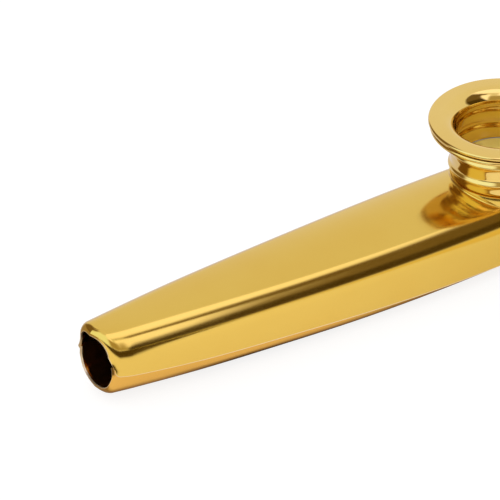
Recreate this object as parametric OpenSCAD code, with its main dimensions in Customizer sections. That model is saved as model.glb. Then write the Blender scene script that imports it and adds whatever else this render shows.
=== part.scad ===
// Pressed metal kazoo: two nested sheet shells, a threaded turret and a vibrating membrane.
// X runs from the narrow outlet to the wide mouth end, Z is up, and the part stands on its keel.

/* [Body] */
// Length of the body from outlet to mouth end
body_length = 120; // [112:1:135]
// Half of the widest part of the body
half_width = 9.45; // [9.35:0.05:12]
// Height of the top face over the surface that the body stands on
body_height = 13.55; // [12.5:0.05:16]
// Thickness of the shells' sheet
shell_sheet = 0.4; // [0.35:0.05:0.5]
// Radius of the long shoulders, at its largest
shoulder_radius = 4.2; // [3:0.1:4.7]
// Radius of the crown across the top face
crown_radius = 20; // [16:1:80]
// How far the lower shell reaches up inside the upper one
lap_height = 1.9; // [1.2:0.1:2.4]
// Gap between the nested shells
nest_gap = 0.06; // [0.04:0.01:0.1]

/* [Ends] */
// Inside radius of the bend before the upper shell's inward-turned ends
end_bend_inside = 0.9; // [0.6:0.05:1.1]
// Flat width of those turned ends, beyond the bend
end_flat = 0.1; // [0.1:0.05:0.9]
// Flat width of the lower shell's turned ends, beyond the bend
lower_flat = 0.15; // [0.1:0.05:0.4]
// Radius of the upper shell's lower corners
corner_radius = 1.6; // [1:0.1:2]

/* [Turret] */
// Distance of the turret's axis from the outlet
turret_place = 78.3; // [70:0.1:82]
// Height of the whole part, to the top of the cap's rim
total_height = 24.3; // [24:0.1:26]
// Height of the raised seat over the top face
seat_rise = 0.45; // [0.4:0.05:1.2]
// Radius of the hole under the membrane
port_radius = 6.5; // [5.5:0.1:6.7]
// Thickness of the turret's sheet
turret_sheet = 0.35; // [0.3:0.01:0.4]
// Radius inside the cap's plain bore
cap_bore_radius = 7.85; // [7.5:0.05:7.95]
// Radius of the cap's flared rim
rim_radius = 12.5; // [12:0.1:14]
// How far the socket's flared lip stays inside the cap's rim
lip_inset = 0.3; // [0.1:0.05:0.6]
// Radius of the hollow inside the rolled edge of the cap's rim
rim_curl_hollow = 0.07; // [0.05:0.01:0.15]
// Radius of the hollow inside the rolled edge of the socket's lip
lip_curl_hollow = 0.05; // [0.04:0.01:0.1]
// Radius of the throat between the cap's rim and its bore
throat_radius = 2.4; // [2:0.1:2.8]
// Radius of the bend between the socket's lip and its wall
lip_bend_radius = 1.9; // [1.5:0.1:2]
// Gap between the cap's rim and the socket's lip when the cap is home
rim_gap = 0.3; // [0.25:0.05:0.5]

/* [Thread] */
// Lift of the cap for one turn
thread_pitch = 3.4; // [3:0.1:3.6]
// Height of the rolled thread over the plain wall
thread_depth = 0.35; // [0.25:0.01:0.4]
// Gap between the cap and the socket all along the thread
thread_gap = 0.2; // [0.18:0.01:0.3]
// Sharpness of the rolled crest, 1 for a plain wave
crest_power = 1.6; // [1:0.1:2]

/* [Membrane] */
// Thickness of the membrane's ring
ring_thickness = 0.7; // [0.5:0.05:0.9]
// Thickness of the vibrating film
film_thickness = 0.1; // [0.08:0.01:0.15]
// Gap over and under the ring, and round it
ring_gap = 0.15; // [0.13:0.01:0.2]

/* [Smoothness] */
// Facets round the turret
turn_steps = 36; // [32:4:64]
// Stretches along the body
body_steps = 24; // [16:2:32]

/* [Hidden] */
gold = "goldenrod";

// Shapes of the body at nine even places from the outlet to the mouth end.
// Half width, as shares of half_width
plan_shares = [0.475, 0.683, 0.822, 0.928, 0.99, 0.997, 0.959, 0.876, 0.75];
// Height of the top face, as shares of body_height
top_shares = [0.96, 0.973, 0.976, 0.986, 0.998, 1, 0.99, 0.956, 0.887];
// Height of the seam, as shares of body_height
seam_shares = [0.427, 0.332, 0.277, 0.226, 0.19, 0.184, 0.203, 0.243, 0.305];
// Height of the keel before its flat land is pressed, as shares of body_height
keel_shares = [0.09, 0.034, -0.004, -0.029, -0.042, -0.044, -0.028, 0.015, 0.089];
// Radius of the shoulders, as shares of shoulder_radius
shoulder_shares = [0.93, 1.03, 1, 1, 1, 1, 1, 0.95, 0.85];
// Form of the lower shell: one half is an ellipse, less is squarer and more is a shallower dish
dish_shares = [0.24, 0.295, 0.33, 0.37, 0.51, 0.67, 0.71, 0.66, 0.5];

turret_x = turret_place - body_length / 2;
seat_top = body_height + seat_rise;
overrun = shell_sheet;

// Outside radius of each end's bend, and how far each turned end reaches in.
// The lower shell lies inside the upper one by lower_clearance, also round the bend.
lower_clearance = shell_sheet + nest_gap;
end_bend = shell_sheet + end_bend_inside;
end_flange = end_bend + end_flat;
lower_bend = end_bend - lower_clearance;
lower_flange = lower_bend + lower_flat;

// Turret radii, from the bore outward
cap_wall_radius = cap_bore_radius + turret_sheet / 2;
socket_wall_radius = cap_wall_radius + turret_sheet + thread_gap;
socket_inside = socket_wall_radius - turret_sheet / 2;
socket_outside = socket_wall_radius + turret_sheet / 2;
port_wall_radius = port_radius + turret_sheet / 2;
seat_hole_radius = port_radius + turret_sheet + nest_gap;
seat_radius = socket_outside + shell_sheet;
seat_edge_radius = shell_sheet * 0.8;
lip_radius = rim_radius - lip_inset;
rim_curl = turret_sheet + rim_curl_hollow;
lip_curl = turret_sheet + lip_curl_hollow;

// Turret heights, from the ledge upward
ledge_top = seat_top + turret_sheet;
ring_bottom = ledge_top + ring_gap;
ring_top = ring_bottom + ring_thickness;
cap_bottom = ring_top + ring_gap;
lip_top = total_height - 2 * rim_curl - rim_gap;
foot_bend_radius = 3 * turret_sheet / 2;
lip_bend_height = lip_top - turret_sheet / 2 - lip_bend_radius;
thread_fade = thread_pitch / 3;
// A crest stands in this direction, in degrees, at the height crest_height
crest_angle = 190;
crest_height = seat_top + 0.6 * thread_pitch;

// Value at the place s, from 0 to 1, on a smooth curve through an evenly spaced table
function smooth_value(table, s) =
    let (last = len(table) - 1,
         place = min(max(s, 0), 1) * last,
         i = min(floor(place), last - 1),
         f = place - i,
         a = table[i],
         b = table[i + 1],
         slope_a = i > 0 ? (b - table[i - 1]) / 2 : b - a,
         slope_b = i + 2 <= last ? (table[i + 2] - a) / 2 : b - a)
    a * (2 * f * f * f - 3 * f * f + 1) + slope_a * (f * f * f - 2 * f * f + f)
    + b * (3 * f * f - 2 * f * f * f) + slope_b * (f * f * f - f * f);

function half_width_at(x) = half_width * smooth_value(plan_shares, x / body_length);
function top_at(x) = body_height * smooth_value(top_shares, x / body_length);
function seam_at(x) = body_height * smooth_value(seam_shares, x / body_length);
function keel_at(x) = body_height * smooth_value(keel_shares, x / body_length);
function shoulder_at(x) = shoulder_radius * smooth_value(shoulder_shares, x / body_length);
function dish_at(x) = smooth_value(dish_shares, x / body_length);

// Rise of the upper shell's edge at its rounded lower corners
function corner_rise(x) =
    let (depth = corner_radius - min(corner_radius, x, body_length - x))
    corner_radius - sqrt(corner_radius * corner_radius - depth * depth);

// Stations along a shell as [x, inset]: an edge turned in, a bend, the long run, and the other end.
// The depth is zero on the outer skin and one sheet on the inner skin.
function end_stations(flange, bend, depth, bend_steps = 3) = concat(
    [[depth, flange]],
    [for (i = [bend_steps:-1:0])
        let (a = 90 * i / bend_steps)
        [bend - (bend - depth) * sin(a), bend - (bend - depth) * cos(a)]]);
function run_stations(start, stop, depth) =
    [for (i = [1:body_steps - 1])
        let (share = (1 - cos(180 * i / body_steps)) / 2)
        [start + (stop - start) * (0.45 * share + 0.55 * i / body_steps), depth]];
function shell_stations(start, stop, flange, bend, depth) =
    let (first = end_stations(flange, bend, depth))
    concat([for (p = first) [start + p[0], p[1]]],
           run_stations(start + bend, stop - bend, depth),
           [for (i = [len(first) - 1:-1:0]) [stop - first[i][0], first[i][1]]]);

// Half outline of the upper shell, from its lower edge over the shoulder to the crown, as [y, z].
// The lower edge stays at the skin's own depth, so the turned ends run out to nothing there.
shoulder_steps = 6;
crown_steps = 3;
function upper_half(x, inset, depth) =
    let (w = half_width_at(x) - inset,
         r = max(shoulder_at(x) - inset, shell_sheet),
         crown = crown_radius - inset,
         start = (w - r) / (1 - r / crown),
         tilt = asin(start / crown),
         top = top_at(x) - inset,
         centre = [start - r * sin(tilt), top - crown + (crown - r) * cos(tilt)])
    concat(
        [[half_width_at(x) - depth, seam_at(x) + corner_rise(x)]],
        [for (i = [0:shoulder_steps])
            let (a = (90 - tilt) * i / shoulder_steps)
            centre + r * [cos(a), sin(a)]],
        [for (i = [1:crown_steps])
            let (a = tilt * (1 - i / crown_steps))
            [crown * sin(a), top - crown + crown * cos(a)]]);

// Half outline of the lower shell, from its lap down and round to the keel, as [y, z].
// The keel is pressed flat where it would reach below the standing surface.
dish_steps = 10;
function lower_half(x, inset) =
    let (w = half_width_at(x) - lower_clearance - inset,
         seam = seam_at(x),
         depth = seam - keel_at(x) - inset,
         floor_height = min(inset, shell_sheet))
    concat(
        [[w, seam + lap_height]],
        [for (i = [0:dish_steps])
            let (a = 90 * i / dish_steps)
            [w * cos(a), max(seam - depth * pow(sin(a), 2 * dish_at(x)), floor_height)]]);

// Whole outline across the body from a half outline whose last point lies on the centre line
function both_halves(half) =
    concat([for (i = [0:len(half) - 1]) [-half[i][0], half[i][1]]],
           [for (i = [len(half) - 2:-1:0]) half[i]]);

// One pressed shell: an outer skin, an inner skin and the rims that join them
module pressed_shell(rings) {
    ring_count = len(rings);
    half_count = ring_count / 2;
    size = len(rings[0]);
    points = [for (ring = rings) each ring];
    skin = [for (k = [0:ring_count - 1]) for (i = [0:size - 2])
        let (next = (k + 1) % ring_count,
             a = k * size + i,
             b = next * size + i)
        each [[a, a + 1, b + 1], [a, b + 1, b]]];
    edges = [for (k = [0:half_count - 2])
        let (a = k * size,
             b = (k + 1) * size,
             c = (ring_count - 1 - k) * size,
             d = (ring_count - 2 - k) * size,
             far = size - 1)
        each [[a, b, d], [a, d, c], [a + far, d + far, b + far], [a + far, c + far, d + far]]];
    polyhedron(points = points, faces = concat(skin, edges), convexity = 6);
}

function ring_at(x, outline) = [for (p = outline) [x - body_length / 2, p[0], p[1]]];

module upper_sheet() {
    outer = shell_stations(0, body_length, end_flange, end_bend, 0);
    inner = shell_stations(0, body_length, end_flange, end_bend, shell_sheet);
    pressed_shell(concat(
        [for (s = outer) ring_at(s[0], both_halves(upper_half(s[0], s[1], 0)))],
        [for (i = [len(inner) - 1:-1:0])
            ring_at(inner[i][0], both_halves(upper_half(inner[i][0], inner[i][1], shell_sheet)))]));
}

// Solid that ends halfway through the sheet of the top face, round the turret
core_steps = 8;
module top_core() {
    rings = [for (i = [0:core_steps])
        let (x = turret_place + seat_radius * (2.4 * i / core_steps - 1.2))
        ring_at(x, both_halves(upper_half(x, shell_sheet / 2, shell_sheet / 2)))];
    size = len(rings[0]);
    points = [for (ring = rings) each ring];
    sides = [for (k = [0:core_steps - 1]) for (i = [0:size - 1])
        let (j = (i + 1) % size,
             a = k * size,
             b = a + size)
        each [[a + i, a + j, b + j], [a + i, b + j, b + i]]];
    ends = [[for (i = [size - 1:-1:0]) i], [for (i = [0:size - 1]) core_steps * size + i]];
    polyhedron(points = points, faces = concat(sides, ends), convexity = 4);
}

// Raised round seat for the turret, drawn up from the top face
module turret_seat() {
    seat_foot = body_height - shoulder_radius;
    difference() {
        seat_drum(seat_foot);
        top_core();
    }
}
module seat_drum(seat_foot) {
    translate([turret_x, 0, 0])
        rotate_extrude($fn = 96)
            difference() {
                union() {
                    translate([0, seat_foot])
                        square([seat_radius, seat_top - seat_edge_radius - seat_foot]);
                    square([seat_radius - seat_edge_radius, seat_top]);
                    translate([seat_radius - seat_edge_radius, seat_top - seat_edge_radius])
                        circle(r = seat_edge_radius, $fn = 48);
                }
                translate([-overrun, -overrun])
                    square([seat_radius + 2 * overrun, seat_foot + overrun]);
                translate([-overrun, -overrun])
                    square([seat_radius - shell_sheet + overrun, seat_top - shell_sheet + overrun]);
                translate([-overrun, -overrun])
                    square([seat_hole_radius + overrun, seat_top + 2 * overrun]);
            }
}

module upper_shell() color(gold) {
    difference() {
        upper_sheet();
        translate([turret_x, 0, body_height - shoulder_radius])
            cylinder(r = seat_radius - shell_sheet / 2, h = shoulder_radius + overrun, $fn = 96);
    }
    turret_seat();
}

module lower_shell() color(gold) {
    start = lower_clearance;
    stop = body_length - start;
    outer = shell_stations(start, stop, lower_flange, lower_bend, 0);
    inner = shell_stations(start, stop, lower_flange, lower_bend, shell_sheet);
    pressed_shell(concat(
        [for (i = [len(outer) - 1:-1:0])
            ring_at(outer[i][0], both_halves(lower_half(outer[i][0], outer[i][1])))],
        [for (s = inner) ring_at(s[0], both_halves(lower_half(s[0], s[1])))]));
}

// Points of an arc as [radius, height]
function arc(centre, r, from, to, steps) =
    [for (i = [0:steps])
        let (a = from + (to - from) * i / steps)
        centre + r * [cos(a), sin(a)]];

// Share of the full thread depth at a height, rising from start and falling from stop
function thread_share(z, start, fade_in, stop, fade_out) =
    min(1, max(0, (z - start) / fade_in)) * min(1, max(0, (stop + fade_out - z) / fade_out));

// Outline of a sheet that follows a line, half its thickness to each side
function sheet_side(path, offset) =
    [for (i = [0:len(path) - 1])
        let (before = path[max(i, 1)] - path[max(i, 1) - 1],
             last = min(i, len(path) - 2),
             after = path[last + 1] - path[last],
             a = before / norm(before),
             b = after / norm(after),
             along = (a + b) / norm(a + b),
             reach = offset / (along * a))
        path[i] + reach * [-along[1], along[0]]];
function sheet_outline(path, thickness) =
    let (left = sheet_side(path, thickness / 2),
         right = sheet_side(path, -thickness / 2))
    concat(left, [for (i = [len(right) - 1:-1:0]) right[i]]);

// Height of the rolled crest over the plain wall, from 0 to 1: a right-hand helix
function crest(z, angle) =
    pow((1 + cos(360 * (z - crest_height) / thread_pitch - (angle - crest_angle))) / 2, crest_power);

// Sheet turned about the turret's axis, with the thread rolled into its wall.
// Each point of the path has its share of the thread's depth.
module rolled_sheet(path, shares) {
    outline = sheet_outline(path, turret_sheet);
    depths = thread_depth * concat(shares, [for (i = [len(shares) - 1:-1:0]) shares[i]]);
    size = len(outline);
    points = [for (k = [0:turn_steps - 1])
        let (angle = 360 * k / turn_steps)
        each [for (i = [0:size - 1])
            let (r = outline[i][0] + depths[i] * crest(outline[i][1], angle))
            [r * cos(angle), r * sin(angle), outline[i][1]]]];
    faces = [for (k = [0:turn_steps - 1]) for (i = [0:size - 1])
        let (next = (k + 1) % turn_steps,
             j = (i + 1) % size,
             a = k * size + i,
             b = k * size + j,
             c = next * size + j,
             d = next * size + i)
        each [[a, c, b], [a, d, c]]];
    translate([turret_x, 0, 0])
        polyhedron(points = points, faces = faces, convexity = 8);
}

wall_steps = 14;
function wall(r, from, to) =
    [for (i = [1:wall_steps]) [r, from + (to - from) * i / wall_steps]];

module screw_cap() color(gold) {
    curl = rim_curl - turret_sheet / 2;
    throat = [cap_wall_radius + throat_radius, total_height - turret_sheet / 2 - throat_radius];
    path = concat(
        arc([rim_radius - rim_curl, total_height - rim_curl], curl, -100, 90, 5),
        arc(throat, throat_radius, 90, 180, 5),
        wall(cap_wall_radius, throat[1], cap_bottom));
    rolled_sheet(path, [for (p = path) p[0] > throat[0] ? 0 :
        thread_share(p[1], cap_bottom, thread_fade, lip_bend_height, thread_fade)]);
}

module turret_socket() color(gold) {
    curl = lip_curl - turret_sheet / 2;
    lip_bend = [socket_wall_radius + lip_bend_radius, lip_bend_height];
    foot = seat_top + turret_sheet / 2;
    foot_bend = [socket_wall_radius - foot_bend_radius, foot + foot_bend_radius];
    tuck = seat_top - shell_sheet - nest_gap - turret_sheet / 2;
    path = concat(
        arc([lip_radius - lip_curl, lip_top - lip_curl], curl, -100, 90, 4),
        arc(lip_bend, lip_bend_radius, 90, 180, 5),
        wall(socket_wall_radius, lip_bend[1], foot_bend[1]),
        [for (a = [-30:-30:-90]) foot_bend + foot_bend_radius * [cos(a), sin(a)]],
        [[port_wall_radius, foot],
         [port_wall_radius, tuck],
         [seat_hole_radius + shell_sheet, tuck]]);
    rolled_sheet(path, [for (p = path)
        thread_share(p[1], foot_bend[1], foot_bend_radius, lip_bend_height, lip_bend_radius)]);
}

ring_radius = socket_inside - ring_gap;

module membrane_ring() color("whitesmoke")
    translate([turret_x, 0, ring_bottom])
        difference() {
            cylinder(r = ring_radius, h = ring_thickness, $fn = 96);
            translate([0, 0, -overrun])
                cylinder(r = port_radius, h = ring_thickness + 2 * overrun, $fn = 96);
            translate([0, 0, ring_thickness - film_thickness])
                cylinder(r = ring_radius - turret_sheet, h = film_thickness + overrun, $fn = 96);
        }

module membrane_film() color("ivory")
    translate([turret_x, 0, ring_top - film_thickness])
        cylinder(r = ring_radius - turret_sheet - nest_gap, h = film_thickness, $fn = 96);

upper_shell();
lower_shell();
turret_socket();
screw_cap();
membrane_ring();
membrane_film();
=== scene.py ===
"""Gold kazoo of pressed sheet metal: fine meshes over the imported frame, studio light and a camera.

Sizes are in millimetres until a mesh is made. X runs from the narrow outlet to the wide mouth end,
and Z is up along the turret.
"""
import math

import bmesh
import bpy
import numpy as np
from mathutils import Matrix, Vector
from mathutils.geometry import delaunay_2d_cdt


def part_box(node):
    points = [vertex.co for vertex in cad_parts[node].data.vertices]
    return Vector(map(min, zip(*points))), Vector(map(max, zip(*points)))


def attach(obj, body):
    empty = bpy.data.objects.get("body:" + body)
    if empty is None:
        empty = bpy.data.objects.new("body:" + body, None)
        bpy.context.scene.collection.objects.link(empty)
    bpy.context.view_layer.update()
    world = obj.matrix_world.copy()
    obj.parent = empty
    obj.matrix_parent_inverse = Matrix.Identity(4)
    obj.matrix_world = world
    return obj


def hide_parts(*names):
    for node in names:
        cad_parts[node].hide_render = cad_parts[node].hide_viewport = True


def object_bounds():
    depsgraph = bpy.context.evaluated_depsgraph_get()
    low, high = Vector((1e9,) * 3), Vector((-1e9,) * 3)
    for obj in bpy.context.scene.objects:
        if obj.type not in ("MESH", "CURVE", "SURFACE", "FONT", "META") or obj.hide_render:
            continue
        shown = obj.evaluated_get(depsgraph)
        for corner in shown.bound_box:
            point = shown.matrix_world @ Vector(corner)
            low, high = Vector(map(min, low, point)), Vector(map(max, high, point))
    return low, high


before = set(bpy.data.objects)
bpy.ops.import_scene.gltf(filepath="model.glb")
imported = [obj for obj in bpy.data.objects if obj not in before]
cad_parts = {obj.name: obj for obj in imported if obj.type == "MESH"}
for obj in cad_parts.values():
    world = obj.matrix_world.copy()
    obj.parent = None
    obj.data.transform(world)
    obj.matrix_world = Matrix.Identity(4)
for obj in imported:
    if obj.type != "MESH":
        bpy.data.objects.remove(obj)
CAD_BOX = [list(corner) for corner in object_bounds()]

MM = 0.001


def span_mm(node, axis):
    """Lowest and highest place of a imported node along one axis."""
    low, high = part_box(node)
    return low[axis] / MM, high[axis] / MM


# Body
BODY_LENGTH = (CAD_BOX[1][0] - CAD_BOX[0][0]) / MM
HALF_WIDTH = 9.45
BODY_HEIGHT = 13.55
SHEET = 0.3
SOLID_SHEET = 0.4
SHOULDER_RADIUS = 4.2
CROWN_RADIUS = 20
LAP_HEIGHT = 1.9
LOWER_CLEARANCE = 0.36
END_BEND = 1.35
END_TURN = 83
LOWER_BEND = 1.25
LOWER_TURN = 90
END_LAP_SHARE = 0.85
END_LAP_LEAN = 0.3
END_LAP_REACH = 5
CORNER_RADIUS = 1.5
DISH_SPREAD = 1.4
LAND_EDGE = 0.08
SHELL_ROUNDING = 0.05

# The outlet's cut runs back on its -Y side, as the photograph shows
SKEW = 0.38
SKEW_REACH = 5
SKEW_AT_KEEL = 0.4
SKEW_HEIGHTS = (3, 7)

# Shapes of the body at nine even places from the outlet to the mouth end, as in the part's source
PLAN_SHARES = [0.475, 0.683, 0.822, 0.928, 0.99, 0.997, 0.959, 0.876, 0.75]
TOP_SHARES = [0.96, 0.973, 0.976, 0.986, 0.998, 1, 0.99, 0.956, 0.887]
SEAM_SHARES = [0.427, 0.332, 0.277, 0.226, 0.19, 0.184, 0.203, 0.243, 0.305]
KEEL_SHARES = [0.09, 0.034, -0.004, -0.029, -0.042, -0.044, -0.028, 0.015, 0.089]
SHOULDER_SHARES = [0.93, 1.03, 1, 1, 1, 1, 1, 0.95, 0.85]
DISH_SHARES = [0.24, 0.295, 0.33, 0.37, 0.51, 0.67, 0.71, 0.66, 0.5]

# Turret
CAP_SPAN = span_mm("screw_cap", 0)
TURRET_X = sum(CAP_SPAN) / 2
RIM_RADIUS = (CAP_SPAN[1] - CAP_SPAN[0]) / 2
TOTAL_HEIGHT = CAD_BOX[1][2] / MM
SEAT_TOP = span_mm("upper_shell", 2)[1]
TURRET_SHEET = 0.35
PORT_RADIUS = 6.5
CAP_BORE_RADIUS = 7.85
LIP_RADIUS = RIM_RADIUS - 0.3
RIM_CURL = 0.42
LIP_CURL = 0.4
THROAT_RADIUS = 2.25
LIP_BEND_RADIUS = 1.9
RIM_GAP = 0.3
NEST_GAP = 0.06
CAP_BOTTOM = span_mm("screw_cap", 2)[0]
CAP_WALL_RADIUS = CAP_BORE_RADIUS + TURRET_SHEET / 2
SOCKET_WALL_RADIUS = CAP_WALL_RADIUS + TURRET_SHEET + 0.2
SEAT_RADIUS = SOCKET_WALL_RADIUS + TURRET_SHEET / 2 + 0.08
SEAT_EDGE = 0.06
SEAT_COVE = 0.22
SEAT_HOLE_RADIUS = PORT_RADIUS + TURRET_SHEET + NEST_GAP
CURL_START = -100
LIP_TOP = TOTAL_HEIGHT - 2 * RIM_CURL - RIM_GAP
LIP_BEND_HEIGHT = LIP_TOP - TURRET_SHEET / 2 - LIP_BEND_RADIUS
FOOT_BEND_RADIUS = 1.5 * TURRET_SHEET
FOOT_BEND_START = -15
PORT_LEDGE = 0.6
TUCK_REACH = 0.4
TURNED_ROUNDING = 0.04
RING_ROUNDING = 0.06

# Rounded corner of the port's tube, as places outward from its wall and along it
PORT_BEND = [(0.25, 0), (0.05, 0.1), (0, 0.3)]

# Thread, a right-hand helix with one crest a turn
PITCH = 3.4
THREAD_DEPTH = 0.35
CREST_POWER = 5
CAP_CREST_POWER = 2.5
CREST_ANGLE = 190
CREST_HEIGHT = SEAT_TOP + 0.6 * PITCH
THREAD_FADE = PITCH / 3

# Film, as a share of its solid's thickness, with wrinkles as (count, twist, shift, height)
FILM_SHARE = 0.4
WRINKLES = [(9, 4, 0, 1), (17, -7, 1, 0.6)]
WRINKLE_SHARE = 0.3
WRINKLE_FADE_IN = 0.4
WRINKLE_FADE_OUT = 0.2

# Smoothness
RUN_STEPS = 200
BEND_STEPS = 8
CROWN_STEPS = 8
SHOULDER_STEPS = 20
SKIRT_STEPS = 8
DISH_STEPS = 36
LAP_STEPS = 3
SEAT_STEPS = 192
SEAT_FLAT_SHARES = (0.3, 1)
COVE_STEPS = 7
EDGE_STEPS = 4
TURN_STEPS = 176
CURL_STEPS = 14
THROAT_STEPS = 20
WALL_STEPS = 64
LIP_BEND_STEPS = 16
FOOT_BEND_STEPS = 5
RING_STEPS = 128
FILM_RINGS = 40
FILM_STEPS = 144
ROUNDING_STEPS = 2
SHARP_DEGREES = 40
SLOPE_REACH = 0.02

# Stretch of the top that is filled with triangles round the seat: how far it reaches from the turret, how
# much wider than the seat's foot the gap in the grid is, the length of one step of s and the tolerance
PATCH_REACH = SEAT_RADIUS + 2.2
PATCH_MARGIN = 1.035
PATCH_SHARE_LENGTH = SHOULDER_RADIUS * 1.3
PATCH_TOLERANCE = 1e-6

# Last place s before the upper shell's lower edge, close to it so that only the edge shows as cut
SKIRT_EDGE = 2.96


def spline(shares, size=1.0):
    """Smooth curve through evenly spaced shares of a size, as a function of x along the body."""
    count = len(shares)
    values = size * np.array(shares, float)
    system = np.eye(count)
    load = np.zeros(count)
    for i in range(1, count - 1):
        system[i, i - 1:i + 2] = (1, 4, 1)
        load[i] = 6 * (values[i - 1] - 2 * values[i] + values[i + 1])
    bend = np.linalg.solve(system, load)

    def at(x):
        place = min(max(x / BODY_LENGTH, 0), 1) * (count - 1)
        i = min(int(place), count - 2)
        f = place - i
        g = 1 - f
        straight = g * values[i] + f * values[i + 1]
        return float(straight + ((g ** 3 - g) * bend[i] + (f ** 3 - f) * bend[i + 1]) / 6)

    return at


half_width_at = spline(PLAN_SHARES, HALF_WIDTH)
top_at = spline(TOP_SHARES, BODY_HEIGHT)
seam_at = spline(SEAM_SHARES, BODY_HEIGHT)
keel_at = spline(KEEL_SHARES, BODY_HEIGHT)
shoulder_at = spline(SHOULDER_SHARES, SHOULDER_RADIUS)
dish_at = spline(DISH_SHARES)


def cut_back(x, y, z):
    """How far the outlet's skewed cut sets a point back."""
    nearness = smooth(max(0, 1 - x / SKEW_REACH))
    low, high = SKEW_HEIGHTS
    height = min(max((z - low) / (high - low), 0), 1)
    return nearness * SKEW * max(-y, 0) * (SKEW_AT_KEEL + (1 - SKEW_AT_KEEL) * height)


def corner_rise(x):
    """Rise of the upper shell's edge at its rounded lower corners."""
    depth = CORNER_RADIUS - min(CORNER_RADIUS, x, BODY_LENGTH - x)
    return CORNER_RADIUS - math.sqrt(CORNER_RADIUS ** 2 - depth ** 2)


def upper_section(x, inset):
    """Crown and shoulder of the upper shell's outline across the body."""
    w = half_width_at(x) - inset
    r = max(shoulder_at(x) - inset, SHEET)
    crown = CROWN_RADIUS - inset
    start = (w - r) / (1 - r / crown)
    tilt = math.asin(start / crown)
    peak = top_at(x) - inset
    centre_y = start - r * math.sin(tilt)
    centre_z = peak - crown + (crown - r) * math.cos(tilt)
    return r, crown, start, tilt, peak, centre_y, centre_z


def upper_point(x, s, inset, depth):
    """Point of the upper shell. s is 0 on the centre line, 1 where the shoulder starts, 2 where it ends
    and 3 on the lower edge, with its sign for the side."""
    r, crown, _, tilt, peak, centre_y, centre_z = upper_section(x, inset)
    side = math.copysign(1, s)
    s = abs(s)
    if s <= 1:
        y = crown * math.sin(tilt * s)
        z = peak - crown + crown * math.cos(tilt * s)
    elif s <= 2:
        lean = tilt + (math.pi / 2 - tilt) * (s - 1)
        y = centre_y + r * math.sin(lean)
        z = centre_z + r * math.cos(lean)
    else:
        y = centre_y + r + (s - 2) * (half_width_at(x) - depth - centre_y - r)
        z = centre_z + (s - 2) * (seam_at(x) + corner_rise(x) - centre_z)
    y *= side
    return (x + cut_back(x, y, z) - BODY_LENGTH / 2, y, z)


def skin_height(x, y, depth):
    """Height of one skin of the upper shell's top over a place in the frame."""
    r, crown, start, _, peak, centre_y, centre_z = upper_section(x + BODY_LENGTH / 2, depth)
    y = abs(y)
    if y < start:
        return peak - crown + math.sqrt(crown ** 2 - y ** 2)
    return centre_z + math.sqrt(max(r ** 2 - (y - centre_y) ** 2, 0))


def skin_share(x, y, depth):
    """Place s, as in upper_point, of a place in the frame."""
    r, crown, start, tilt, _, centre_y, _ = upper_section(x + BODY_LENGTH / 2, depth)
    side = math.copysign(1, y)
    y = abs(y)
    if y < start:
        return side * math.asin(y / crown) / tilt
    lean = math.asin(min((y - centre_y) / r, 1))
    return side * (1 + (lean - tilt) / (math.pi / 2 - tilt))


def bend_inset(x):
    """How much the upper shell's turned-in ends narrow the duct at one place."""
    reach = END_BEND - min(max(min(x, BODY_LENGTH - x), SHEET), END_BEND)
    return END_BEND - SHEET - math.sqrt((END_BEND - SHEET) ** 2 - reach ** 2)


def lower_point(x, s, inset, depth):
    """Point of the lower shell. s is 0 on the keel, 1 on the seam and 2 on the top of the lap. The
    turned-in ends run out towards the seam."""
    side = math.copysign(1, s)
    s = abs(s)
    inset += (depth - inset) * min(s, 1) ** 2
    w = half_width_at(x) - LOWER_CLEARANCE - inset
    seam = seam_at(x)
    if s > 1:
        fullness = smooth(min(1, min(x, BODY_LENGTH - x) / END_LAP_REACH))
        y = side * (w - (s - 1) * END_LAP_LEAN * bend_inset(x))
        z = seam + (s - 1) * LAP_HEIGHT * (END_LAP_SHARE + (1 - END_LAP_SHARE) * fullness)
    else:
        a = math.pi / 2 * (1 - s) ** DISH_SPREAD
        y = side * w * math.cos(a)
        z = seam - (seam - keel_at(x) - inset) * math.sin(a) ** (2 * dish_at(x))
        z = soft_max(z, min(inset, SHEET), LAND_EDGE)
    return (x + cut_back(x, y, z) - BODY_LENGTH / 2, y, z)


def soft_max(a, b, width):
    """The larger value, rounded where the two are within a width of each other."""
    h = max(width - abs(a - b), 0) / width
    return max(a, b) + h * h * width / 4


class Shell:
    """Points and faces of one closed mesh, in millimetres."""

    def __init__(self):
        self.points = []
        self.faces = []
        self.cut = set()

    def add(self, point):
        self.points.append(point)
        return len(self.points) - 1

    def row(self, points):
        return [self.add(p) for p in points]

    def bridge(self, a, b, closed=False):
        """Quads between two rows of the same length."""
        count = len(a)
        for i in range(count if closed else count - 1):
            j = (i + 1) % count
            self.faces.append((a[i], a[j], b[j], b[i]))

    def build(self, name, body, node, material, rounding=0.0):
        """The finished object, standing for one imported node."""
        mesh = bpy.data.meshes.new(name)
        work = bmesh.new()
        cut = work.verts.layers.float.new("cut")
        corners = [work.verts.new([c * MM for c in p]) for p in self.points]
        for i in self.cut:
            corners[i][cut] = 1
        for face in self.faces:
            work.faces.new([corners[i] for i in face])
        bmesh.ops.delete(work, geom=[v for v in work.verts if not v.link_faces], context="VERTS")
        bmesh.ops.recalc_face_normals(work, faces=work.faces)
        for face in work.faces:
            face.smooth = True
        for edge in work.edges:
            edge.smooth = edge.calc_face_angle(0) < math.radians(SHARP_DEGREES)
        work.to_mesh(mesh)
        work.free()
        mesh.materials.append(material)
        piece = bpy.data.objects.new(name, mesh)
        bpy.context.scene.collection.objects.link(piece)
        if rounding:
            bevel = piece.modifiers.new("edges", "BEVEL")
            bevel.width = rounding * MM
            bevel.segments = ROUNDING_STEPS
            bevel.limit_method = "ANGLE"
            bevel.angle_limit = math.radians(SHARP_DEGREES)
            bevel.harden_normals = True
            bevel.use_clamp_overlap = True
        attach(piece, body)
        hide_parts(node)
        return piece


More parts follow.
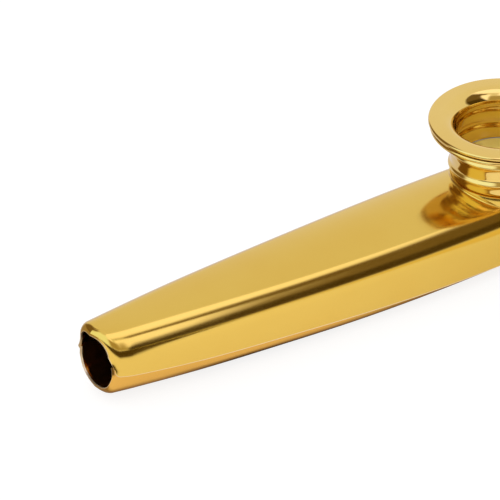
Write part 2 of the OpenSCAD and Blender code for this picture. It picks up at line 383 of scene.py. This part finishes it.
def end_stations(turn, bend, depth):
    """Stations of a turned-in end as (x, inset), from its cut edge round the bend."""
    stations = []
    for i in range(BEND_STEPS, -1, -1):
        a = math.radians(turn) * i / BEND_STEPS
        stations.append((bend - (bend - depth) * math.sin(a), bend - (bend - depth) * math.cos(a)))
    return stations


def shell_stations(turn, bend, depth):
    """Stations along one skin of a shell as (x, inset)."""
    first = end_stations(turn, bend, depth)
    run = BODY_LENGTH - 2 * bend
    return (
        first
        + [(bend + run * i / RUN_STEPS, depth) for i in range(1, RUN_STEPS)]
        + [(BODY_LENGTH - x, inset) for x, inset in reversed(first)]
    )


def half_columns():
    """Places s, as in upper_point, across one half of the upper shell."""
    crown = [i / CROWN_STEPS for i in range(CROWN_STEPS)]
    shoulder = [1 + i / SHOULDER_STEPS for i in range(SHOULDER_STEPS)]
    skirt = [2 + i / SKIRT_STEPS for i in range(SKIRT_STEPS)] + [SKIRT_EDGE, 3]
    return crown + shoulder + skirt


def both_sides(half):
    """Places on both sides of the centre line, in order."""
    return [-s for s in reversed(half[1:])] + half


def inside(polygon, place):
    """Whether a place lies inside a closed outline."""
    x, y = place
    odd = False
    for (ax, ay), (bx, by) in zip(polygon, polygon[1:] + polygon[:1]):
        if (ay > y) != (by > y) and x < ax + (bx - ax) * (y - ay) / (by - ay):
            odd = not odd
    return odd


def seat_profile(angle, wall, top, edge, cove, depth):
    """Points of the raised seat in one direction, as (radius, height): from the body's skin up a cove
    and a short wall, round the edge and in to the hole."""

    def height(r):
        return skin_height(TURRET_X + r * math.cos(angle), r * math.sin(angle), depth)

    def lean(r):
        return math.atan2(height(r + SLOPE_REACH) - height(r - SLOPE_REACH), 2 * SLOPE_REACH)

    turn = math.pi / 2 + lean(wall)
    reach = cove * math.tan(turn / 2)
    foot = wall + reach * math.cos(lean(wall))
    handle = cove * math.tan(turn / 4) * 4 / 3
    slope = lean(foot)
    p0 = Vector((foot, height(foot)))
    p1 = p0 - handle * Vector((math.cos(slope), math.sin(slope)))
    p3 = Vector((wall, min(height(wall) + reach, top - edge)))
    p2 = p3 - handle * Vector((0, 1))
    points = []
    for i in range(COVE_STEPS + 1):
        t = i / COVE_STEPS
        p = (1 - t) ** 3 * p0 + 3 * t * (1 - t) ** 2 * p1 + 3 * t * t * (1 - t) * p2 + t ** 3 * p3
        points.append((p.x, p.y))
    for i in range(1, EDGE_STEPS + 1):
        a = math.pi / 2 * i / EDGE_STEPS
        points.append((wall - edge + edge * math.cos(a), top - edge + edge * math.sin(a)))
    for share in SEAT_FLAT_SHARES:
        points.append((wall - edge + (SEAT_HOLE_RADIUS - wall + edge) * share, top))
    return points


def upper_skin(shell, depth, wall, top, edge, cove):
    """One skin of the upper shell with its part of the seat. Returns the grid and the hole's edge."""
    stations = shell_stations(END_TURN, END_BEND, depth)
    columns = both_sides(half_columns())
    grid = [shell.row(upper_point(x, s, inset, depth) for s in columns) for x, inset in stations]

    angles = [2 * math.pi * i / SEAT_STEPS for i in range(SEAT_STEPS)]
    profiles = [seat_profile(a, wall, top, edge, cove, depth) for a in angles]
    rings = []
    for i in range(len(profiles[0])):
        rings.append(shell.row(
            (TURRET_X + p[i][0] * math.cos(a), p[i][0] * math.sin(a), p[i][1])
            for a, p in zip(angles, profiles)))
    for a, b in zip(rings, rings[1:]):
        shell.bridge(a, b, closed=True)

    # The stretch round the seat is filled with triangles between the grid and the seat's foot
    near = [i for i, (x, _) in enumerate(stations)
            if abs(x - BODY_LENGTH / 2 - TURRET_X) < PATCH_REACH]
    first, last = near[0], near[-1]
    left = columns.index(-2)
    right = columns.index(2)

    def flat(index):
        x, y, _ = shell.points[index]
        return (x, PATCH_SHARE_LENGTH * skin_share(x, y, depth))

    foot = rings[0]
    outline = [flat(i) for i in foot]
    margin = [((x - TURRET_X) * PATCH_MARGIN + TURRET_X, y * PATCH_MARGIN) for x, y in outline]
    places, ids = [], []
    slots = {}
    for i in range(first, last + 1):
        for j in range(left, right + 1):
            x = stations[i][0] - BODY_LENGTH / 2
            place = (x, PATCH_SHARE_LENGTH * columns[j])
            if not inside(margin, place):
                slots[i, j] = len(ids)
                ids.append(grid[i][j])
                places.append(place)
    loop_start = len(ids)
    ids += foot
    places += outline
    edges = [(loop_start + i, loop_start + (i + 1) % SEAT_STEPS) for i in range(SEAT_STEPS)]
    for i in range(first, last):
        for j in (left, right):
            edges.append((slots[i, j], slots[i + 1, j]))
    for j in range(left, right):
        for i in (first, last):
            edges.append((slots[i, j], slots[i, j + 1]))
    result = delaunay_2d_cdt([Vector(p) for p in places], edges, [], 0, PATCH_TOLERANCE)
    kept = [group[0] for group in result[3]]
    for face in result[2]:
        corners = [kept[i] for i in face]
        centre = [sum(places[i][k] for i in corners) / 3 for k in (0, 1)]
        if not inside(outline, centre):
            shell.faces.append(tuple(ids[i] for i in corners))

    for i in range(len(stations) - 1):
        for j in range(len(columns) - 1):
            if not (first <= i < last and left <= j < right):
                shell.faces.append((grid[i][j], grid[i][j + 1], grid[i + 1][j + 1], grid[i + 1][j]))
    return grid, rings[-1]


def close_rims(shell, outer, inner):
    """Cut edges between two skins, along both sides and round both ends. The ends show as cut."""
    for j in (0, -1):
        shell.bridge([row[j] for row in outer], [row[j] for row in inner])
    for i in (0, -1):
        shell.bridge(outer[i], inner[i])
    for grid in (outer, inner):
        shell.cut.update(grid[0], grid[-1])


def make_upper_shell(material):
    """Top of the body with its seat and the hole for the turret. Its lower edges show as cut."""
    shell = Shell()
    outer, outer_hole = upper_skin(shell, 0, SEAT_RADIUS, SEAT_TOP, SEAT_EDGE, SEAT_COVE)
    inner, inner_hole = upper_skin(
        shell, SHEET, SEAT_RADIUS - SHEET, SEAT_TOP - SHEET, SEAT_EDGE, SEAT_COVE + SHEET)
    shell.bridge(outer_hole, inner_hole, closed=True)
    close_rims(shell, outer, inner)
    for grid in (outer, inner):
        shell.cut.update((row[0] for row in grid), (row[-1] for row in grid))
    return shell.build(
        "upper_shell_sheet", "kazoo_body", "upper_shell", material, SHELL_ROUNDING)


def make_lower_shell(material):
    """Trough under the body, which laps up inside the upper shell."""
    shell = Shell()
    dish = [i / DISH_STEPS for i in range(DISH_STEPS + 1)]
    lap = [1 + (i + 1) / LAP_STEPS for i in range(LAP_STEPS)]
    columns = both_sides(dish + lap)
    skins = []
    for depth in (0, SHEET):
        stations = shell_stations(LOWER_TURN, LOWER_BEND, depth)
        skins.append([shell.row(lower_point(x, s, inset, depth) for s in columns) for x, inset in stations])
    for grid in skins:
        for a, b in zip(grid, grid[1:]):
            shell.bridge(a, b)
    close_rims(shell, *skins)
    return shell.build(
        "lower_shell_sheet", "kazoo_body", "lower_shell", material, SHELL_ROUNDING)


def arc(centre, radius, start, stop, steps):
    """Points of an arc as (radius, height), with angles in degrees."""
    angles = [math.radians(start + (stop - start) * i / steps) for i in range(steps + 1)]
    return [(centre[0] + radius * math.cos(a), centre[1] + radius * math.sin(a)) for a in angles]


def wall(radius, start, stop):
    """Points of an upright wall as (radius, height), after its start."""
    return [(radius, start + (stop - start) * i / WALL_STEPS) for i in range(1, WALL_STEPS + 1)]


def thread_share(z, start, fade_in, stop, fade_out):
    """Share of the full thread depth at a height."""
    rise = min(1, max(0, (z - start) / fade_in))
    fall = min(1, max(0, (stop + fade_out - z) / fade_out))
    return smooth(rise) * smooth(fall)


def smooth(t):
    """Soft step from 0 to 1."""
    return t * t * (3 - 2 * t)


def crest(z, angle, power):
    """Height of the rolled crest over the plain wall, from 0 to 1: a right-hand helix."""
    turn = 2 * math.pi * (z - CREST_HEIGHT) / PITCH - (angle - math.radians(CREST_ANGLE))
    return ((1 + math.cos(turn)) / 2) ** power


def sheet_sides(path, thickness):
    """Closed outline of a sheet that follows a path."""
    points = np.array(path)
    along = np.gradient(points, axis=0)
    along /= np.linalg.norm(along, axis=1)[:, None]
    normal = np.stack([-along[:, 1], along[:, 0]], axis=1)
    half = normal * thickness / 2
    return np.concatenate([points + half, (points - half)[::-1]])


def make_rolled(name, node, body, path, shares, power, material):
    """Sheet turned about the turret's axis with the thread rolled into its wall."""
    outline = sheet_sides(path, TURRET_SHEET)
    depths = [THREAD_DEPTH * share for share in shares + shares[::-1]]
    shell = Shell()
    rows = []
    for k in range(TURN_STEPS):
        angle = 2 * math.pi * k / TURN_STEPS
        ring = []
        for (r, z), depth in zip(outline, depths):
            r += depth * crest(z, angle, power)
            ring.append((TURRET_X + r * math.cos(angle), r * math.sin(angle), z))
        rows.append(shell.row(ring))
    for k in range(TURN_STEPS):
        shell.bridge(rows[k], rows[(k + 1) % TURN_STEPS], closed=True)
    return shell.build(name, body, node, material, TURNED_ROUNDING)


def make_screw_cap(material):
    """Rolled edge, flat rim, throat and threaded wall, from the outside in."""
    curl = (RIM_RADIUS - RIM_CURL, TOTAL_HEIGHT - RIM_CURL)
    throat = (CAP_WALL_RADIUS + THROAT_RADIUS, TOTAL_HEIGHT - TURRET_SHEET / 2 - THROAT_RADIUS)
    path = (
        arc(curl, RIM_CURL - TURRET_SHEET / 2, CURL_START, 90, CURL_STEPS)
        + arc(throat, THROAT_RADIUS, 90, 180, THROAT_STEPS)
        + wall(CAP_WALL_RADIUS, throat[1], CAP_BOTTOM)
    )
    shares = [
        0 if r > throat[0] else thread_share(z, CAP_BOTTOM, THREAD_FADE, LIP_BEND_HEIGHT, THREAD_FADE)
        for r, z in path
    ]
    return make_rolled("screw_cap_sheet", "screw_cap", "cap", path, shares, CAP_CREST_POWER, material)


def make_turret_socket(material):
    """Flared lip, threaded wall, ledge for the diaphragm and port, tucked under the seat's edge."""
    curl = (LIP_RADIUS - LIP_CURL, LIP_TOP - LIP_CURL)
    lip_bend = (SOCKET_WALL_RADIUS + LIP_BEND_RADIUS, LIP_BEND_HEIGHT)
    foot = SEAT_TOP + TURRET_SHEET / 2
    foot_bend = (SOCKET_WALL_RADIUS - FOOT_BEND_RADIUS, foot + FOOT_BEND_RADIUS)
    port = PORT_RADIUS + TURRET_SHEET / 2
    tuck = SEAT_TOP - SOLID_SHEET - NEST_GAP - TURRET_SHEET / 2
    path = (
        arc(curl, LIP_CURL - TURRET_SHEET / 2, CURL_START, 90, CURL_STEPS)
        + arc(lip_bend, LIP_BEND_RADIUS, 90, 180, LIP_BEND_STEPS)
        + wall(SOCKET_WALL_RADIUS, lip_bend[1], foot_bend[1])
        + arc(foot_bend, FOOT_BEND_RADIUS, FOOT_BEND_START, -90, FOOT_BEND_STEPS)
        + [(port + PORT_LEDGE, foot)]
        + [(port + out, foot - along) for out, along in PORT_BEND]
        + [(port + out, tuck + along) for out, along in reversed(PORT_BEND)]
        + [(SEAT_HOLE_RADIUS + TUCK_REACH, tuck)]
    )
    shares = [
        thread_share(z, foot_bend[1], FOOT_BEND_RADIUS, LIP_BEND_HEIGHT, LIP_BEND_RADIUS) for _, z in path
    ]
    return make_rolled(
        "turret_socket_sheet", "turret_socket", "kazoo_body", path, shares, CREST_POWER, material)


def make_membrane_ring(material):
    """Flat ring with a step for the film, turned from its outline."""
    low, high = span_mm("membrane_ring", 2)
    west, east = span_mm("membrane_ring", 0)
    radius = (east - west) / 2
    film_low = span_mm("membrane_film", 2)[0]
    step = radius - TURRET_SHEET
    outline = [
        (PORT_RADIUS, low), (radius, low), (radius, high),
        (step, high), (step, film_low), (PORT_RADIUS, film_low),
    ]
    shell = Shell()
    rows = []
    for k in range(RING_STEPS):
        a = 2 * math.pi * k / RING_STEPS
        rows.append(shell.row((TURRET_X + r * math.cos(a), r * math.sin(a), z) for r, z in outline))
    for k in range(RING_STEPS):
        shell.bridge(rows[k], rows[(k + 1) % RING_STEPS], closed=True)
    return shell.build(
        "membrane_ring_body", "diaphragm", "membrane_ring", material, RING_ROUNDING)


def wrinkle(share, angle):
    """Height of the film's wrinkles, which die away at its centre and edge."""
    wave = sum(height * math.sin(count * angle + twist * share + shift)
               for count, twist, shift, height in WRINKLES)
    fade = smooth(min(1, share / WRINKLE_FADE_IN)) * smooth(min(1, (1 - share) / WRINKLE_FADE_OUT))
    return WRINKLE_SHARE * wave * fade


def make_membrane_film(material):
    """Thin disc, drawn slightly into wrinkles that run in from its edge."""
    low, high = span_mm("membrane_film", 2)
    west, east = span_mm("membrane_film", 0)
    radius = (east - west) / 2
    thickness = (high - low) * FILM_SHARE
    room = high - low - thickness
    shell = Shell()
    skins = []
    for base in (low + thickness, low):
        rows = []
        for i in range(1, FILM_RINGS + 1):
            share = i / FILM_RINGS
            r = radius * share
            row = []
            for k in range(FILM_STEPS):
                a = 2 * math.pi * k / FILM_STEPS
                z = base + room * (0.5 + wrinkle(share, a))
                row.append((TURRET_X + r * math.cos(a), r * math.sin(a), z))
            rows.append(shell.row(row))
        centre = shell.add((TURRET_X, 0, base + room / 2))
        for k in range(FILM_STEPS):
            shell.faces.append((centre, rows[0][k], rows[0][(k + 1) % FILM_STEPS]))
        for a, b in zip(rows, rows[1:]):
            shell.bridge(a, b, closed=True)
        skins.append(rows[-1])
    shell.bridge(skins[0], skins[1], closed=True)
    return shell.build("membrane_film_skin", "diaphragm", "membrane_film", material)


class Nodes:
    """Short way to add and join shader nodes."""

    def __init__(self, tree):
        self.tree = tree
        tree.nodes.clear()

    def add(self, kind, **settings):
        node = self.tree.nodes.new(kind)
        for key, value in settings.items():
            setattr(node, key, value)
        return node

    def set(self, socket, value):
        if isinstance(value, bpy.types.NodeSocket):
            self.tree.links.new(value, socket)
        else:
            socket.default_value = value

    def math(self, operation, *values):
        node = self.add("ShaderNodeMath", operation=operation)
        for socket, value in zip(node.inputs, values):
            self.set(socket, value)
        return node.outputs[0]

    def noise(self, vector, scale, detail, roughness=0.5):
        node = self.add("ShaderNodeTexNoise")
        self.set(node.inputs["Vector"], vector)
        node.inputs["Scale"].default_value = scale
        node.inputs["Detail"].default_value = detail
        node.inputs["Roughness"].default_value = roughness
        return node.outputs["Fac"]

    def stretched(self, vector, scale):
        node = self.add("ShaderNodeMapping")
        self.set(node.inputs["Vector"], vector)
        node.inputs["Scale"].default_value = scale
        return node.outputs["Vector"]

    def remap(self, value, low, high, to_low, to_high):
        """Even run from one range to another, which stops at its ends."""
        node = self.add("ShaderNodeMapRange")
        for socket, v in zip(node.inputs, (value, low, high, to_low, to_high)):
            self.set(socket, v)
        return node.outputs[0]

    def mix(self, factor, a, b):
        node = self.add("ShaderNodeMix", data_type="RGBA")
        self.set(node.inputs["Factor"], factor)
        self.set(node.inputs[6], a)
        self.set(node.inputs[7], b)
        return node.outputs[2]


# Colours
GOLD = (0.765, 0.512, 0.104, 1)
GOLD_CLOUD = (0.755, 0.495, 0.096, 1)
# Lower shell: the body's gold painted darker and more orange, as painted shade and painted reflection of
# the warm floor under the body
GOLD_LOWER_SHADED = (0.76, 0.425, 0.085, 1)
GOLD_LOWER_SHADED_CLOUD = (0.74, 0.405, 0.08, 1)
GOLD_TURRET = (0.83, 0.585, 0.175, 1)
GOLD_TURRET_CLOUD = (0.81, 0.56, 0.16, 1)
# Cut edges: pale bare metal, painted paler still as a painted edge highlight
GOLD_CUT_PALE_HIGHLIGHT = (0.98, 0.8, 0.55, 1)
RING = (0.78, 0.75, 0.68, 1)
RING_CLOUD = (0.72, 0.69, 0.62, 1)
# Film: an off-white film painted golden yellow, as painted light bounced from the gold bore
FILM_GOLD_LIT = (0.98, 0.81, 0.24, 1)
FILM_CLOUD_GOLD_LIT = (0.95, 0.75, 0.19, 1)

# Roughness, and how far the streaks and clouds change it
ROUGH_UPPER = 0.14
ROUGH_LOWER = 0.2
ROUGH_TURRET = 0.09
ROUGH_RING = 0.5
ROUGH_FILM = 0.12
GOLD_SPREAD = 0.15
PLASTIC_SPREAD = 0.2
CUT_ROUGHER = 0.3
FILM_ALPHA = 0.9

# Noise: scales per metre, and the bands of it that the sheets use
CLOUD_SCALE = 90
CLOUD_BAND = (0.35, 0.65)
GRAIN_BAND = (0.3, 0.7)
PLASTIC_CLOUD_SCALE = 400
BODY_STREAKS = (60, 2500, 2500)
TURRET_STREAKS = (300, 300, 2500)
GRAIN_STRENGTH = 0.05
GRAIN_DEPTH = 0.02 * MM


def new_shader(material, kind):
    """The nodes of a new material and its shader, joined to the output."""
    material.use_nodes = True
    nodes = Nodes(material.node_tree)
    out = nodes.add("ShaderNodeOutputMaterial")
    shader = nodes.add(kind)
    nodes.set(out.inputs["Surface"], shader.outputs[0])
    return nodes, shader


def gold_material(name, colour, shade, roughness, streaks):
    """Gold-coloured polished sheet: fine rolling streaks, faint clouding and a soft gloss."""
    material = bpy.data.materials.new(name)
    nodes, shader = new_shader(material, "ShaderNodeBsdfPrincipled")
    place = nodes.add("ShaderNodeTexCoord").outputs["Object"]
    cloud = nodes.noise(place, CLOUD_SCALE, 3)
    cut = nodes.add("ShaderNodeAttribute", attribute_name="cut").outputs["Fac"]
    sheet = nodes.mix(nodes.remap(cloud, *CLOUD_BAND, 0, 1), colour, shade)
    # Cut edges get the pale bare-metal colour with a painted edge highlight
    nodes.set(shader.inputs["Base Color"], nodes.mix(cut, sheet, GOLD_CUT_PALE_HIGHLIGHT))
    grain = nodes.noise(nodes.stretched(place, streaks), 1, 4, 0.6)
    polish = nodes.remap(grain, *GRAIN_BAND, roughness * (1 - GOLD_SPREAD), roughness * (1 + GOLD_SPREAD))
    rougher = nodes.math("MULTIPLY", cut, CUT_ROUGHER)
    nodes.set(shader.inputs["Roughness"], nodes.math("ADD", polish, rougher))
    shader.inputs["Metallic"].default_value = 1
    bump = nodes.add("ShaderNodeBump")
    bump.inputs["Strength"].default_value = GRAIN_STRENGTH
    bump.inputs["Distance"].default_value = GRAIN_DEPTH
    nodes.set(bump.inputs["Height"], grain)
    nodes.set(shader.inputs["Normal"], bump.outputs[0])
    return material


def plastic_material(name, colour, shade, roughness, alpha=1.0):
    """Plain plastic with slight clouding."""
    material = bpy.data.materials.new(name)
    nodes, shader = new_shader(material, "ShaderNodeBsdfPrincipled")
    place = nodes.add("ShaderNodeTexCoord").outputs["Object"]
    cloud = nodes.noise(place, PLASTIC_CLOUD_SCALE, 3)
    nodes.set(shader.inputs["Base Color"], nodes.mix(cloud, colour, shade))
    polish = nodes.remap(
        cloud, *GRAIN_BAND, roughness * (1 - PLASTIC_SPREAD), roughness * (1 + PLASTIC_SPREAD))
    nodes.set(shader.inputs["Roughness"], polish)
    shader.inputs["Alpha"].default_value = alpha
    return material


# Floor: half its size in metres, its plain colour, and its own light and what it adds of other light, as
# the camera sees it and as metal sees it
FLOOR_REACH = 1.5
FLOOR_COLOUR = (0.8, 0.8, 0.8, 1)
VIEW_GLOW = 0.82
VIEW_ADDED = (0.25, 0.25, 0.25, 1)
METAL_GLOW = 0.45
METAL_ADDED = 0.58
SHADE_TAPER = 0.1
CARD_SLANT = 0.375

# What metal sees of the floor: a colour, then patches over it as (colour, edges), with painted shade and
# painted reflections. Each edge is a run, the place in millimetres where the patch begins and the place
# from which it is full.
FLOOR_SEEN = (1.1, 1.08, 1.08, 1)
FLOOR_PATCHES = [
    ((1.0, 0.985, 0.96, 1), [("x", -20, 30)]),
    # Painted shade beside and under the body, which shows only in metal
    ((0.4, 0.33, 0.25, 1), [("aside", 12.5, 9.5)]),
    ((0.08, 0.06, 0.035, 1), [("across", 8.5, 6), ("x", 15, 0), ("x", -50, -35)]),
    # Floor behind the body
    ((0.78, 0.76, 0.85, 1), [("y", 13, 20)]),
    # Painted dark patches before and behind the outlet, and a pale one before the turret, which show only
    # in metal
    ((0.09, 0.06, 0.015, 1), [("slant", -58.4, -62.4), ("y", -17, -23)]),
    ((0.4, 0.31, 0.18, 1), [("x", -58, -62), ("y", -4, 4)]),
    ((0.95, 0.8, 0.4, 1), [("x", 16, 24), ("y", -26, -32)]),
]


def floor_seen(nodes):
    """Colour of the floor as metal sees it."""
    place = nodes.add("ShaderNodeSeparateXYZ")
    nodes.set(place.inputs[0], nodes.add("ShaderNodeTexCoord").outputs["Object"])
    x, y, _ = place.outputs
    across = nodes.math("ABSOLUTE", y)
    taper = nodes.math("MULTIPLY", nodes.math("MINIMUM", x, 0), SHADE_TAPER)
    runs = {
        "x": x,
        "y": y,
        "across": across,
        "aside": nodes.math("SUBTRACT", across, taper),
        "slant": nodes.math("ADD", x, nodes.math("MULTIPLY", y, CARD_SLANT)),
    }
    # The patches paint shade and reflections onto the floor as only metal sees it
    seen = FLOOR_SEEN
    for colour, edges in FLOOR_PATCHES:
        share = 1
        for run, begins, full in edges:
            share = nodes.math("MULTIPLY", share, nodes.remap(runs[run], begins * MM, full * MM, 0, 1))
        seen = nodes.mix(share, seen, colour)
    return seen


def make_floor():
    """Pale floor that shows as white and keeps a faint shadow; it is clear from below."""
    mesh = bpy.data.meshes.new("floor")
    corners = [(-1, -1), (1, -1), (1, 1), (-1, 1)]
    mesh.from_pydata([(x * FLOOR_REACH, y * FLOOR_REACH, 0) for x, y in corners], [], [(0, 1, 2, 3)])
    floor = bpy.data.objects.new("floor", mesh)
    bpy.context.scene.collection.objects.link(floor)
    material = bpy.data.materials.new("floor")
    nodes, side = new_shader(material, "ShaderNodeMixShader")
    path = nodes.add("ShaderNodeLightPath").outputs

    def glowing(strength, own, added):
        """Floor that gives its own light and takes some more, so that shadows stay."""
        lit = nodes.add("ShaderNodeBsdfDiffuse")
        nodes.set(lit.inputs["Color"], added)
        glow = nodes.add("ShaderNodeEmission")
        nodes.set(glow.inputs["Color"], own)
        glow.inputs["Strength"].default_value = strength
        both = nodes.add("ShaderNodeAddShader")
        nodes.set(both.inputs[0], lit.outputs[0])
        nodes.set(both.inputs[1], glow.outputs[0])
        return both.outputs[0]

    def choose(share, first, second, mixer=None):
        """The first shader where the share is 0 and the second where it is 1."""
        mixer = mixer or nodes.add("ShaderNodeMixShader")
        for socket, value in zip(mixer.inputs, (share, first, second)):
            nodes.set(socket, value)
        return mixer.outputs[0]

    plain = nodes.add("ShaderNodeBsdfDiffuse")
    plain.inputs["Color"].default_value = FLOOR_COLOUR
    seen = floor_seen(nodes)
    added = nodes.add("ShaderNodeVectorMath", operation="SCALE")
    nodes.set(added.inputs[0], seen)
    added.inputs["Scale"].default_value = METAL_ADDED
    in_view = glowing(VIEW_GLOW, (1, 1, 1, 1), VIEW_ADDED)
    in_metal = glowing(METAL_GLOW, seen, added.outputs[0])
    direct = nodes.math("MAXIMUM", path["Is Camera Ray"], path["Is Transmission Ray"])
    above = choose(path["Is Glossy Ray"], choose(direct, plain.outputs[0], in_view), in_metal)
    below = nodes.add("ShaderNodeBsdfTransparent").outputs[0]
    choose(nodes.add("ShaderNodeNewGeometry").outputs["Backfacing"], above, below, side)
    mesh.materials.append(material)


# Studio as metal sees it: a colour, then patches over it as (azimuth, width, lowest and highest elevation,
# softness, lean, colour), in degrees. The lean moves a patch's azimuth by so much for each degree that the
# elevation is above the lean's level.
ROOM = (0.91, 0.905, 0.92, 1)
LEAN_LEVEL = 30
STUDIO = [
    # Strip box beside the body, with a thin flag over it
    (-76, 28, 12, 50, 3, 0, (1.45, 1.45, 1.9)),
    (-66, 20, 50, 58, 1.5, 0, (0.25, 0.18, 0.08)),
    # Flag beside the body, darkest low down, and a low one that shows near the outlet
    (-52, 44, 3, 62, 3, 0.585, (0.18, 0.126, 0.055)),
    (-52, 44, 4, 28, 4, 0.585, (0.075, 0.048, 0.01)),
    (-83, 12, -20, 10, 3, 0, (0.06, 0.04, 0.01)),
    # Boxes over the body and over the camera
    (-75, 150, 61, 100, 3, 0, (1.45, 1.45, 1.9)),
    (-135, 50, 40, 61, 4, 0, (1.4, 1.4, 1.9)),
    # Brownish room on the camera's side, a flag on the left and a pale blue box on the near left
    (-117, 54, 3, 38, 4, 0, (0.5, 0.42, 0.25)),
    (123, 56, -20, 58, 5, 0, (0.22, 0.15, 0.07)),
    (185, 58, 0, 58, 6, 0, (1.12, 1.36, 1.65)),
]


def make_world():
    """White studio; metal sees it with softboxes and dark flags at fixed directions."""
    world = bpy.data.worlds.new("studio")
    bpy.context.scene.world = world
    world.use_nodes = True
    nodes = Nodes(world.node_tree)
    out = nodes.add("ShaderNodeOutputWorld")
    back = nodes.add("ShaderNodeBackground")
    nodes.set(out.inputs["Surface"], back.outputs[0])
    path = nodes.add("ShaderNodeLightPath").outputs
    split = nodes.add("ShaderNodeSeparateXYZ")
    nodes.set(split.inputs[0], nodes.add("ShaderNodeTexCoord").outputs["Generated"])
    x, y, z = split.outputs
    azimuth = nodes.math("DEGREES", nodes.math("ARCTAN2", y, x))
    elevation = nodes.math("DEGREES", nodes.math("ARCSINE", z))

    def patch(centre, width, low, high, soft, lean):
        """1 inside a patch of directions, in degrees, and 0 well outside it."""
        raised = nodes.math("SUBTRACT", elevation, LEAN_LEVEL)
        middle = nodes.math("ADD", centre, nodes.math("MULTIPLY", raised, lean))
        turn = nodes.math("WRAP", nodes.math("SUBTRACT", azimuth, middle), 180, -180)
        beside = nodes.math("ABSOLUTE", turn)
        across = nodes.remap(beside, width / 2 - soft, width / 2 + soft, 1, 0)
        up = nodes.remap(elevation, low - soft, low + soft, 0, 1)
        down = nodes.remap(elevation, high - soft, high + soft, 1, 0)
        return nodes.math("MULTIPLY", across, nodes.math("MULTIPLY", up, down))

    colour = ROOM
    for *shape, seen in STUDIO:
        colour = nodes.mix(patch(*shape), colour, seen + (1,))
    nodes.set(back.inputs["Color"], nodes.mix(path["Is Glossy Ray"], (1, 1, 1, 1), colour))


# Camera, fitted to the photograph's rim and body; pixels are in its 500 x 500 frame
CAMERA_AZIMUTH = 36.95
CAMERA_ELEVATION = 32.3
CAMERA_ROLL = 1.88
CAMERA_DISTANCE = 414
FOCAL_PIXELS = 2500
FRAME_PIXELS = 500
RIM_PIXEL = (504.2, 117.0)
SENSOR_WIDTH = 36
CLIP_START = 0.01
CLIP_END = 10


def make_camera():
    """Camera at the photograph's place, rolled and then turned so that the rim falls on its pixel."""
    data = bpy.data.cameras.new("camera")
    camera = bpy.data.objects.new("camera", data)
    bpy.context.scene.collection.objects.link(camera)
    bpy.context.scene.camera = camera
    data.sensor_width = SENSOR_WIDTH
    data.lens = data.sensor_width * FOCAL_PIXELS / FRAME_PIXELS
    data.clip_start = CLIP_START
    data.clip_end = CLIP_END
    a, e, roll = (math.radians(d) for d in (CAMERA_AZIMUTH, CAMERA_ELEVATION, CAMERA_ROLL))
    back = Vector((-math.sin(a) * math.cos(e), -math.cos(a) * math.cos(e), math.sin(e)))
    right = (-back).cross(Vector((0, 0, 1))).normalized()
    up = right.cross(-back)
    turned_right = math.cos(roll) * right + math.sin(roll) * up
    turned_up = -math.sin(roll) * right + math.cos(roll) * up
    level = Matrix((turned_right, turned_up, back)).transposed()
    half = FRAME_PIXELS / 2
    ray = Vector((RIM_PIXEL[0] - half, half - RIM_PIXEL[1], -FOCAL_PIXELS)).normalized()
    turn = Vector((0, 0, -1)).rotation_difference(ray).to_matrix()
    rim_centre = Vector((TURRET_X, 0, TOTAL_HEIGHT)) * MM
    camera.matrix_world = Matrix.Translation(rim_centre + back * CAMERA_DISTANCE * MM) @ (
        level @ turn.transposed()).to_4x4()


upper_gold = gold_material("gold_upper", GOLD, GOLD_CLOUD, ROUGH_UPPER, BODY_STREAKS)
# The lower shell's gold carries painted shade and painted reflection
lower_gold_shaded = gold_material("gold_lower_shaded", GOLD_LOWER_SHADED, GOLD_LOWER_SHADED_CLOUD, ROUGH_LOWER, BODY_STREAKS)
turret_gold = gold_material("gold_turret", GOLD_TURRET, GOLD_TURRET_CLOUD, ROUGH_TURRET, TURRET_STREAKS)
ring_plastic = plastic_material("ring_plastic", RING, RING_CLOUD, ROUGH_RING)
# The film's colour carries painted gold bounce light
film_plastic = plastic_material("film_plastic", FILM_GOLD_LIT, FILM_CLOUD_GOLD_LIT, ROUGH_FILM, FILM_ALPHA)

make_upper_shell(upper_gold)
make_lower_shell(lower_gold_shaded)
make_turret_socket(turret_gold)
make_screw_cap(turret_gold)
make_membrane_ring(ring_plastic)
make_membrane_film(film_plastic)
make_floor()
make_world()
make_camera()
bpy.context.scene.view_settings.view_transform = "Standard"
